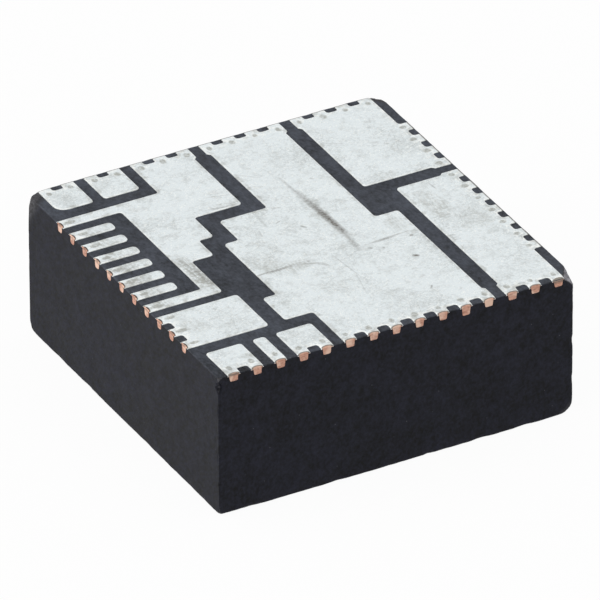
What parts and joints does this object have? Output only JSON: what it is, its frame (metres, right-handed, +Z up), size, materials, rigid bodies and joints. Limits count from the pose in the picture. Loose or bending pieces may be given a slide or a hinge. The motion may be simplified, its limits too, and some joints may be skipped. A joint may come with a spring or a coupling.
{
  "type": "dc-dc converter module",
  "caption": "Moulded dc-dc converter module: a dark block with a tinned copper lead frame flush in its solder face and sawn lead ends on all sides.",
  "frame": {"origin": "middle of the flat moulded face that the part lies on", "axes": "+X along the front edge, +Y from front to back, +Z up, out of the solder face"},
  "size_m": [0.01, 0.01, 0.004],
  "materials": {
    "mould_compound": "fine-grained filled epoxy, sawn on the sides",
    "tinned_lead_frame": "matte tin on the pads, bare sawn copper on the lead ends",
    "ferrite": "ground ceramic",
    "coil_wire": "enamelled flat copper",
    "silicon": "ground silicon",
    "die_attach": "cured film",
    "bare_copper": "stamped copper",
    "ceramic": "fired ceramic",
    "plated_ends": "matte tin",
    "resistor_body": "coated alumina",
    "bond_wire": "drawn wire",
    "solder": "reflowed solder"
  },
  "bodies": {
    "root": {"moulded_body": "mould_compound", "corner_pad_back_left": "tinned_lead_frame", "double_pad_back_left": "tinned_lead_frame", "angled_pad": "tinned_lead_frame", "signal_pad_1": "tinned_lead_frame", "signal_pad_2": "tinned_lead_frame", "signal_pad_3": "tinned_lead_frame", "signal_pad_4": "tinned_lead_frame", "signal_pad_5": "tinned_lead_frame", "signal_pad_6": "tinned_lead_frame", "side_pad": "tinned_lead_frame", "corner_pad_front_left": "tinned_lead_frame", "slim_pad_front": "tinned_lead_frame", "double_pad_front": "tinned_lead_frame", "centre_pad": "tinned_lead_frame", "right_pad": "tinned_lead_frame", "back_right_pad": "tinned_lead_frame", "inductor_core_cup": "ferrite", "inductor_core_plate": "ferrite", "inductor_coil": "coil_wire", "controller_die": "silicon", "die_attach_film": "die_attach", "low_side_switch_die": "silicon", "high_side_switch_die": "silicon", "switch_clip": "bare_copper", "input_clip": "bare_copper", "input_capacitors": "ceramic", "input_capacitor_ends": "plated_ends", "output_capacitors": "ceramic", "output_capacitor_ends": "plated_ends", "small_capacitors": "ceramic", "small_capacitor_ends": "plated_ends", "resistors": "resistor_body", "resistor_ends": "plated_ends", "bond_wires": "bond_wire", "solder_joints": "solder"}
  },
  "joints": []
}
